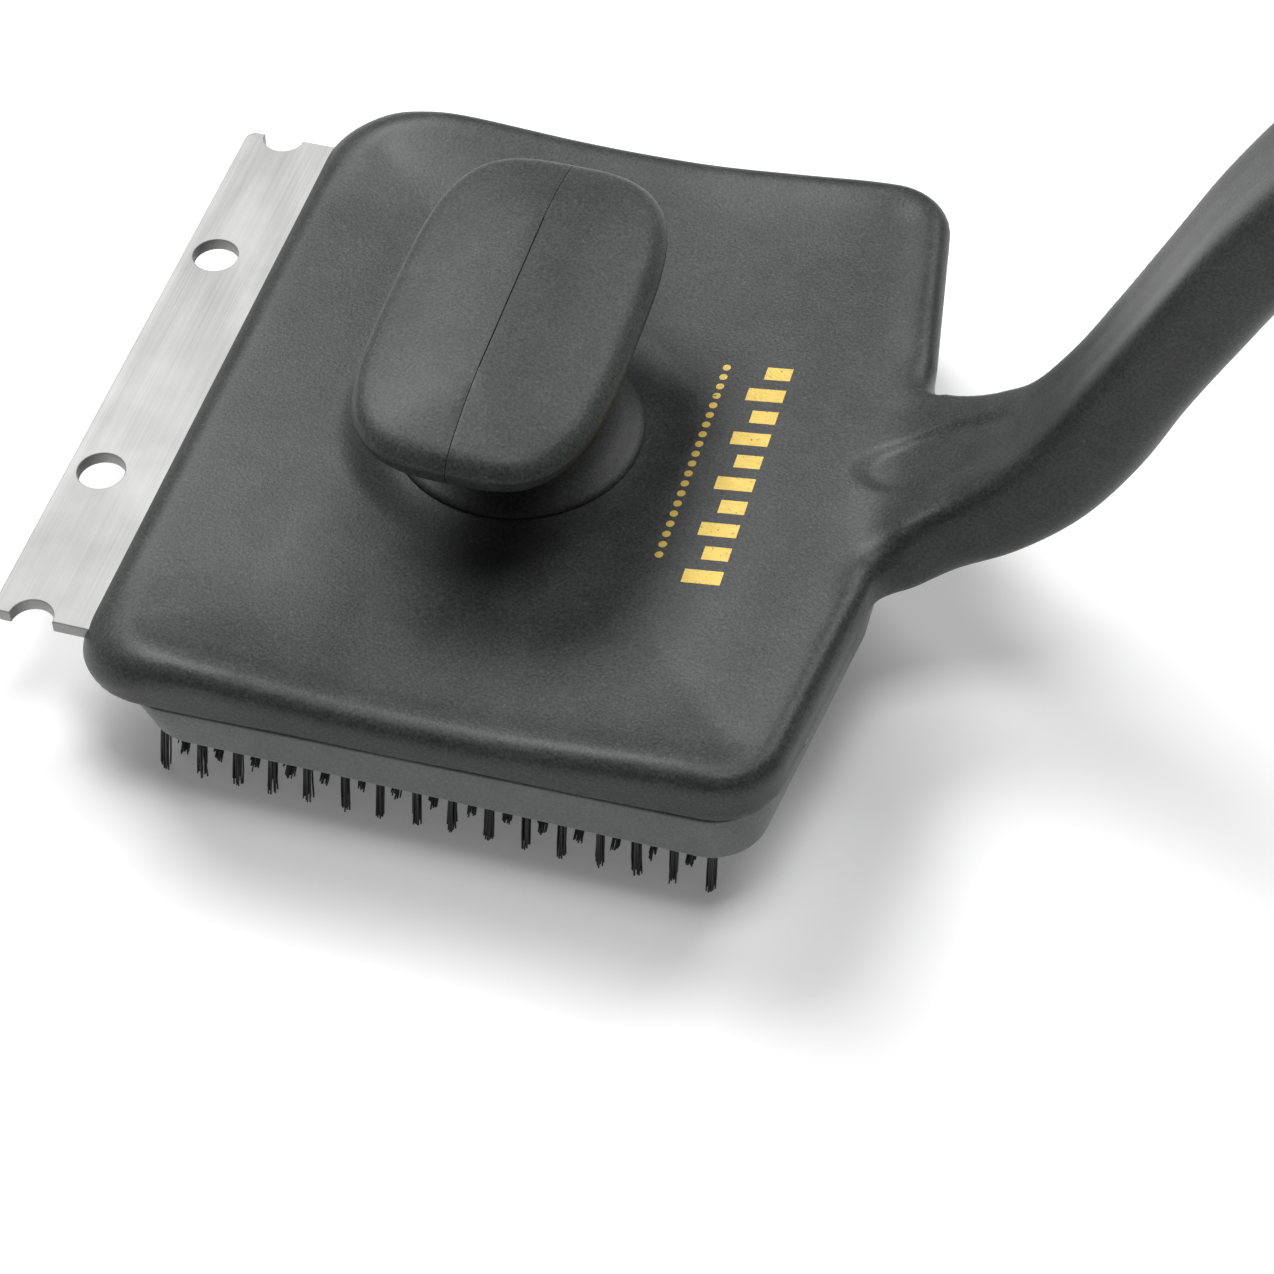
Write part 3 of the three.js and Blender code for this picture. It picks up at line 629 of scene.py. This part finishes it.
# ---- Cover with the neck and handle ----
def head_loft():
    corners = head_corners(COVER_FRONT_X, COVER_HALF_WIDTH, 0, 15, 13)
    rings = []
    wall_foot = outline(inset_corners(corners, 0.4))
    rings.append(np.column_stack([wall_foot, parting_height(wall_foot[:, 0])]))
    for crisp, soft in zip(curve_through(RIM_SECTION, 6), curve_through(RIM_SECTION_FRONT, 6)):
        flat = outline(inset_corners(corners, crisp[0]))
        flat_soft = outline(inset_corners(corners, soft[0]))
        share = smoothstep(-54, -34, flat[:, 0])
        flat = flat_soft + (flat - flat_soft) * share[:, None]
        z = rim_height(flat[:, 0]) + soft[1] + (crisp[1] - soft[1]) * share
        # The crest along the sides dies out across the front.
        from_side = COVER_HALF_WIDTH - abs(flat[:, 1])
        middle = smoothstep(6, 30, from_side) * (1 - smoothstep(-34, -12, flat[:, 0]))
        above = z - FRONT_LEVEL
        z = z - middle * (above + np.sqrt(above ** 2 + 0.5)) / 2
        lowest = parting_height(flat[:, 0]) + 0.8
        rings.append(np.column_stack([flat, np.maximum(z, lowest)]))
    return loft_object("head", rings)


def superellipse(half_a, half_b, power, count):
    angles = 2 * np.pi * (np.arange(count) + 0.5) / count
    c, s = np.cos(angles), np.sin(angles)
    return np.sign(c) * abs(c) ** (2 / power) * half_a, np.sign(s) * abs(s) ** (2 / power) * half_b


def handle_section(half_width, half_thick, count=96):
    """Rounded below, with two raised ridges and a shallow dish above."""
    a, below = superellipse(half_width, half_thick, HANDLE_SQUARENESS, count)
    a_top, above = superellipse(half_width, half_thick, HANDLE_TOP_SQUARENESS, count)
    share = a_top / half_width
    dish = min(HANDLE_TOP_DISH, 0.1 * half_thick) * np.clip(1 - (share / 0.88) ** 2, 0, 1)
    top = above > 0
    return np.where(top, a_top, a), np.where(top, above - dish, below)


def handle_loft():
    path = curve_through(HANDLE_STATIONS, 8)
    tangents = np.gradient(path[:, :2], axis=0)
    tangents /= np.linalg.norm(tangents, axis=1)[:, None]
    sections = [(*station, tangent) for station, tangent in zip(path, tangents)]
    x, z, half_width, half_thick, tangent = sections[-1]
    reach = np.array(HANDLE_END) - (x, z)
    # The rounded end stops just short of a point.
    for k in range(1, 13):
        turn = math.pi / 2 * k / 12.4
        spot = np.array((x, z)) + reach * math.sin(turn)
        shrink = math.cos(turn) ** 0.8
        sections.append((spot[0], spot[1], half_width * shrink, half_thick * shrink, tangent))
    rings = []
    for x, z, half_width, half_thick, tangent in sections:
        a, b = handle_section(half_width, half_thick)
        up = (-tangent[1], tangent[0])
        rings.append(np.column_stack([x + b * up[0], a, z + b * up[1]]))
    handle = loft_object("handle", rings)
    hole_z = np.interp(HANG_HOLE_X, path[:, 0], path[:, 1])
    low, high = (HANG_HOLE_X, 0, hole_z - 20), (HANG_HOLE_X, 0, hole_z + 20)
    cut(handle, cylinder_object(HANG_HOLE_RADIUS, low, high))
    return handle


def tree_of(obj):
    points = [v.co.copy() for v in obj.data.vertices]
    return BVHTree.FromPolygons(points, [tuple(p.vertices) for p in obj.data.polygons])


# Cell size of the mesh that joins head and handle.
COVER_VOXEL = 0.9
# Distances from both bodies within which their join is rounded in full and not at all.
JOIN_REACH = (1.5, 6.0)
JOIN_ROUNDS = 45
NECK_ROOT_ROUNDS = 160
# Thumb rest: middle and slope of the line it lies along, half length, half width, depth.
THUMB_MIDDLE = (81.6, 48.0)
THUMB_SLOPE = 0.55
THUMB_HALF_LENGTH = 19.0
THUMB_HALF_WIDTH = 8.4
THUMB_DEPTH = 0.8


def press_thumb_rest(points):
    """Presses a flat-floored oval that fades out towards the handle."""
    along = np.array((math.cos(THUMB_SLOPE), math.sin(THUMB_SLOPE)))
    outward = np.array((-along[1], along[0]))
    rel = points[:, [0, 2]] - THUMB_MIDDLE
    a = rel @ along / THUMB_HALF_LENGTH
    b = points[:, 1] / THUMB_HALF_WIDTH
    away = np.sqrt(a ** 2 + b ** 2)
    depth = THUMB_DEPTH * (1 - smoothstep(0.78, 1.0, away)) * (1 - smoothstep(0.1, 1.0, a))
    on_top = rel @ outward > -9
    depth = np.where(on_top, depth, 0)
    points = points.copy()
    points[:, 0] -= depth * outward[0]
    points[:, 2] -= depth * outward[1]
    return points


def level_flange_seat(points):
    """Levels the dished top under the knob's flange."""
    r = np.hypot(points[:, 0] - KNOB_X, points[:, 1])
    share = 1 - smoothstep(FLANGE_RADIUS + 1, FLANGE_RADIUS + 10, r)
    top = (points[:, 2] > FLANGE_SEAT_Z - 3) & (points[:, 2] < 40)
    points = points.copy()
    points[:, 2] = np.where(top, points[:, 2] + (FLANGE_SEAT_Z - points[:, 2]) * share, points[:, 2])
    return points


def block_room():
    """The space under the parting line that the block takes."""
    front_x, half_width = BLOCK_FRONT_X - 30, BLOCK_HALF_WIDTH + 6
    corners = head_corners(front_x, half_width, BLOCK_REAR_INSET, 9, BLOCK_REAR_RADIUS)
    flat = outline(inset_corners(corners, -FIT_GAP))
    return loft_object("tool", [
        np.column_stack([flat, np.zeros(len(flat))]),
        np.column_stack([flat, parting_height(flat[:, 0])]),
    ])


def neck_root(points):
    """Weight of the places on top where the head runs over into the neck, between its two ridges."""
    x, y, z = points.T
    across = 1 - smoothstep(7, 16, abs(y))
    along = smoothstep(54, 64, x) * (1 - smoothstep(80, 92, x))
    return across * along * (z > 30.5 + 0.5 * np.clip(x - 66, 0, 40))


def cover_piece():
    head, handle = head_loft(), handle_loft()
    trees = tree_of(head), tree_of(handle)
    both = bmesh.new()
    both.from_mesh(head.data)
    both.from_mesh(handle.data)
    mesh = bpy.data.meshes.new("cover_and_neck")
    both.to_mesh(mesh)
    both.free()
    remove(head)
    remove(handle)
    cover = bpy.data.objects.new("cover", mesh)
    bpy.context.scene.collection.objects.link(cover)
    remesh = cover.modifiers.new("remesh", "REMESH")
    remesh.mode = "VOXEL"
    remesh.voxel_size = COVER_VOXEL * MM
    apply_modifiers(cover)
    points = points_of(cover)
    snapped = points.copy()
    distance = np.empty((len(points), 2))
    for i, p in enumerate(points):
        spot = Vector(p) * MM
        hits = [tree.find_nearest(spot) for tree in trees]
        distance[i] = [hit[3] / MM for hit in hits]
        nearest = hits[0] if hits[0][3] < hits[1][3] else hits[1]
        snapped[i] = np.array(nearest[0]) / MM
    # The join between head and neck is rounded, and everything else lies on its own surface.
    edges = edges_of(cover)
    weight = 1 - smoothstep(*JOIN_REACH, distance.max(axis=1))
    start = np.where(weight[:, None] > 0.02, points, snapped)
    points = relax(start, edges, weight, JOIN_ROUNDS)
    points = relax(points, edges, neck_root(points), NECK_ROOT_ROUNDS)
    points = relax(points, edges, np.full(len(points), 0.6), 2)
    points = press_thumb_rest(points)
    points = level_flange_seat(points)
    set_points(cover, points)
    slot_half = BLADE_HALF_LENGTH + FIT_GAP
    slot_low = (COVER_FRONT_X - 5, -slot_half, 15)
    slot_high = (BLADE_REAR_X + 5, slot_half, BLADE_TOP_Z + 0.2)
    cut(cover, block_room(), box_object(slot_low, slot_high))
    smooth_shade(cover, 42)
    return cover


# ---- Bristle block ----
def block_piece():
    corners, top_corners = [
        head_corners(front_x, BLOCK_HALF_WIDTH, BLOCK_REAR_INSET, BLOCK_FRONT_RADIUS, BLOCK_REAR_RADIUS)
        for front_x in (BLOCK_FRONT_X, BLOCK_FRONT_X - BLOCK_FRONT_SLOPE)
    ]
    rings = []
    for k in range(9):
        turn = math.pi / 2 * k / 8
        flat = outline(inset_corners(corners, BLOCK_EDGE_RADIUS * (1 - math.sin(turn))), 10, 12)
        z = BLOCK_BOTTOM_Z + BLOCK_EDGE_RADIUS * (1 - math.cos(turn))
        rings.append(np.column_stack([flat, np.full(len(flat), z)]))
    for inset, below in ((0, 0.5), (0.12, 0.22), (0.4, 0.0)):
        flat = outline(inset_corners(top_corners, inset), 10, 12)
        rings.append(np.column_stack([flat, parting_height(flat[:, 0]) - FIT_GAP - below]))
    block = loft_object("block", rings)
    seat_top = BLADE_TOP_Z - BLADE_THICKNESS - 0.05
    seat = box_object((BLOCK_FRONT_X + 4, -62, 20), (BLADE_REAR_X - 1, 62, seat_top))
    cut(block, seat, operation="UNION")
    share = (COVER_HALF_WIDTH - SIDE_SCREW_Y) / (COVER_HALF_WIDTH - REAR_MIDDLE_HALF_WIDTH)
    wall_x = REAR_CORNER_X + (REAR_MIDDLE_X - REAR_CORNER_X) * share
    floor_x = wall_x - 4.2
    for y in (-SIDE_SCREW_Y, SIDE_SCREW_Y):
        recess_floor, outside = (floor_x, y, SIDE_SCREW_Z), (wall_x + 6, y, SIDE_SCREW_Z)
        cut(block, cylinder_object(RECESS_RADIUS, recess_floor, outside))
    smooth_shade(block, 40)
    return block


# ---- Scraper blade ----
def arc_points(centre, radius, start, end, steps):
    angles = [math.radians(start + (end - start) * k / steps) for k in range(steps + 1)]
    return [(centre[0] + radius * math.cos(a), centre[1] + radius * math.sin(a)) for a in angles]


def blade_piece():
    half, front, rear = BLADE_HALF_LENGTH, BLADE_FRONT_X, BLADE_REAR_X
    corner = 2.0
    outer = []
    outer += arc_points((front + corner, -half + corner), corner, 180, 270, 10)
    outer += arc_points((BITE_X, -half), BITE_RADIUS, 180, 0, 36)
    outer += [(rear, -half), (rear, half)]
    outer += arc_points((BITE_X, half), BITE_RADIUS, 0, -180, 36)
    outer += arc_points((front + corner, half - corner), corner, 90, 180, 10)
    holes = [
        arc_points((BLADE_HOLE_X, side * BLADE_HOLE_Y), BLADE_HOLE_RADIUS, 0, -360 + 6, 59)
        for side in (-1, 1)
    ]
    curve = bpy.data.curves.new("blade", "CURVE")
    curve.dimensions = "2D"
    curve.fill_mode = "BOTH"
    edge = 0.28
    curve.bevel_depth = edge * MM
    curve.bevel_resolution = 3
    curve.offset = -edge * MM
    curve.extrude = (BLADE_THICKNESS / 2 - edge) * MM
    for ring in [outer] + holes:
        spline = curve.splines.new("POLY")
        spline.points.add(len(ring) - 1)
        for point, (x, y) in zip(spline.points, ring):
            point.co = (x * MM, y * MM, 0, 1)
        spline.use_cyclic_u = True
    holder = bpy.data.objects.new("blade_curve", curve)
    bpy.context.scene.collection.objects.link(holder)
    graph = bpy.context.evaluated_depsgraph_get()
    mesh = bpy.data.meshes.new_from_object(holder.evaluated_get(graph))
    remove(holder)
    blade = bpy.data.objects.new("blade", mesh)
    bpy.context.scene.collection.objects.link(blade)
    points = points_of(blade)
    points[:, 2] += BLADE_TOP_Z - BLADE_THICKNESS / 2
    set_points(blade, points)
    weld(blade, 0.01)
    smooth_shade(blade, 35)
    return blade


# ---- Palm knob ----
SEAM_HALF_GAP = 0.035
SEAM_EDGE = 0.1
# Radius of the face in the middle of each end of the stem.
STEM_END_RADIUS = 2.8


def knob_rings():
    section = curve_through(KNOB_SECTION, 5)
    rings = []
    for inset, depth in section:
        x, y = superellipse(KNOB_HALF_WIDTH - inset, KNOB_HALF_LENGTH - inset, KNOB_SQUARENESS, 144)
        middle = KNOB_X - PALM_FACE_SHIFT * (1 - smoothstep(2.5, 7, depth))
        rings.append(np.column_stack([middle + x, y, np.full(len(x), KNOB_TOP_Z - depth)]))
    return rings


def knob_half(name, side):
    """One half, with a fine rounded edge along the seam."""
    obj = loft_object(name, knob_rings())
    work = bmesh.new()
    work.from_mesh(obj.data)
    plane = Vector((KNOB_X + side * SEAM_HALF_GAP, 0, 0)) * MM
    cut_edges = bmesh.ops.bisect_plane(
        work, geom=work.verts[:] + work.edges[:] + work.faces[:], dist=0.0000005,
        plane_co=plane, plane_no=(side, 0, 0), clear_inner=True,
    )
    rim = [e for e in cut_edges["geom_cut"] if isinstance(e, bmesh.types.BMEdge)]
    bmesh.ops.contextual_create(work, geom=rim)
    on_plane = [e for e in work.edges if all(abs(v.co.x - plane.x) < 0.000002 for v in e.verts)]
    seam = [e for e in on_plane if len(e.link_faces) == 2]
    bmesh.ops.bevel(work, geom=seam, offset=SEAM_EDGE * MM, segments=3, profile=0.5, affect="EDGES")
    work.to_mesh(obj.data)
    work.free()
    smooth_shade(obj, 50)
    return obj


def stem_piece():
    """The stem and its flange, turned around the knob's axis."""
    base = FLANGE_SEAT_Z + 0.02
    top = KNOB_TOP_Z - KNOB_DEPTH + 0.4
    edge = [
        (STEM_END_RADIUS, base), (FLANGE_RADIUS - 0.15, base), (FLANGE_RADIUS, base + 0.15),
        (FLANGE_RADIUS - 0.1, base + 0.5), (FLANGE_RADIUS - 0.5, base + 0.85),
    ]
    flare = curve_through([
        (FLANGE_RADIUS - 1.3, base + 1.15), (21.6, base + 1.65), (19.2, base + 2.7), (16.6, base + 4.5),
        (14.4, base + 7.2), (13.0, base + 11), (12.6, base + 15), (13.4, top),
    ], 6)
    profile = edge + [tuple(p) for p in flare] + [(STEM_END_RADIUS, top)]
    sides = 128
    angles = 2 * np.pi * np.arange(sides) / sides
    rings = [
        np.column_stack([KNOB_X + r * np.cos(angles), r * np.sin(angles), np.full(sides, z)])
        for r, z in profile
    ]
    stem = loft_object("stem", rings)
    smooth_shade(stem, 50)
    return stem


# ---- Bristles ----
# How far the tips of the outer rows stand out sideways.
EDGE_SPLAY = {0: 0.3, 1: 2.6, 2: 1.2}
# How far the tips of the second row lean forward, so that they show between those of the first.
SECOND_ROW_LEAN = 1.6
# Radius of a tuft's bundle at its root.
BUNDLE_RADIUS = 0.72
GOLDEN_ANGLE = 2.39996


def tuft_row(index, chance):
    """One row of tufts, each a bundle of thin, slightly bent filaments."""
    short = index % 2 == 1
    count = 15 if short else 16
    start = FIRST_TUFT_X + (TUFT_PITCH / 2 if short else 0)
    y = (index - (TUFT_ROWS - 1) / 2) * ROW_PITCH
    sides, stations = 5, (0.0, 0.4, 0.75, 1.0)
    strands = 24
    high = BLOCK_BOTTOM_Z + 0.8
    points, faces = [], []
    angles = [2 * math.pi * k / sides for k in range(sides)]
    for tuft in range(count):
        x = start + tuft * TUFT_PITCH
        lean = LEAN_PER_MM * (REAR_CORNER_X - x) + (SECOND_ROW_LEAN if index == 1 else 0)
        splay = EDGE_SPLAY.get(index, 0) - EDGE_SPLAY.get(TUFT_ROWS - 1 - index, 0)
        tilt = (chance.gauss(0, 0.12), chance.gauss(0, 0.12))
        for strand in range(strands):
            far = math.sqrt((strand + 0.5) / strands)
            turn = strand * GOLDEN_ANGLE + chance.uniform(-0.3, 0.3)
            root = (BUNDLE_RADIUS * far * math.cos(turn), BUNDLE_RADIUS * far * math.sin(turn))
            spread = 1.12 + chance.uniform(-0.1, 0.22)
            stray_x = root[0] * spread + tilt[0] + chance.gauss(0, 0.13)
            stray_y = root[1] * spread + tilt[1] + chance.gauss(0, 0.13)
            tip = (min(max(stray_x, -1.35), 1.35) - lean, min(max(stray_y, -1.3), 1.3) - splay)
            bend = (chance.gauss(0, 0.12), chance.gauss(0, 0.12))
            low = 0.02 + 4.5 * chance.random() ** 2.4
            radius = chance.uniform(0.15, 0.19)
            first = len(points)
            for t in stations:
                sway = 4 * t * (1 - t)
                cx = x + root[0] + (tip[0] - root[0]) * t + bend[0] * sway
                cy = y + root[1] + (tip[1] - root[1]) * t + bend[1] * sway
                cz = high + (low - high) * t
                r = radius * (1 - 0.08 * t)
                points += [(cx + r * math.cos(a), cy + r * math.sin(a), cz) for a in angles]
            for level in range(len(stations) - 1):
                for k in range(sides):
                    a = first + level * sides + k
                    b = first + level * sides + (k + 1) % sides
                    faces.append((b, a, a + sides, b + sides))
            tip_ring = first + (len(stations) - 1) * sides
            faces.append(tuple(tip_ring + k for k in range(sides - 1, -1, -1)))
            faces.append(tuple(first + k for k in range(sides)))
    row = mesh_object(f"tufts_{index + 1:02d}", points, faces)
    smooth_shade(row, 60)
    return row


# ---- Assembly ----
def dress(obj, material, slot, *nodes):
    obj.data.materials.clear()
    obj.data.materials.append(material)
    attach(obj, "root")
    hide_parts(*nodes)


def area_light(name, place, size, power):
    data = bpy.data.lights.new(name, "AREA")
    data.shape = "SQUARE"
    data.size = size
    data.energy = power
    light = bpy.data.objects.new(name, data)
    light.location = place
    light.rotation_euler = (Vector(LIGHT_AIM) - Vector(place)).to_track_quat("-Z", "Y").to_euler()
    light.visible_camera = False
    bpy.context.scene.collection.objects.link(light)


def make_studio():
    angles = [2 * math.pi * k / FLOOR_SIDES for k in range(FLOOR_SIDES)]
    points = [(0, 0, 0)] + [(FLOOR_RADIUS * math.cos(a), FLOOR_RADIUS * math.sin(a), 0) for a in angles]
    faces = [(0, 1 + k, 1 + (k + 1) % FLOOR_SIDES) for k in range(FLOOR_SIDES)]
    floor = mesh_object("floor", points, faces, floor_material())
    world = bpy.data.worlds.new("studio")
    world.use_nodes = True
    background = world.node_tree.nodes["Background"]
    background.inputs["Color"].default_value = (1, 1, 1, 1)
    background.inputs["Strength"].default_value = WORLD_STRENGTH
    bpy.context.scene.world = world
    for light in LIGHTS:
        area_light(*light)
    bpy.context.scene.view_settings.view_transform = "Standard"


def build():
    make_camera()
    cover_plastic, block_plastic, knob_plastic = cover_material(), block_material(), knob_material()
    dress(cover_piece(), cover_plastic, "cover_plastic", "cover_and_handle")
    dress(block_piece(), block_plastic, "block_plastic", "bristle_block")
    dress(blade_piece(), steel_material(), "scraper_steel", "scraper_blade")
    dress(stem_piece(), knob_plastic, "knob_plastic", "knob_stem")
    dress(knob_half("knob_front", -1), knob_plastic, "knob_plastic", "knob_front_half")
    dress(knob_half("knob_rear", 1), knob_plastic, "knob_plastic", "knob_rear_half")
    nylon = bristle_material()
    chance = random.Random(11)
    for index in range(TUFT_ROWS):
        dress(tuft_row(index, chance), nylon, "bristle_nylon", f"tuft_row_{index + 1:02d}")
    zinc = screw_material()
    for name in ("knob_screw", "knob_washer", "block_screw_near", "block_screw_far"):
        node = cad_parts[name]
        node.data.materials.clear()
        node.data.materials.append(zinc)
    make_studio()


build()
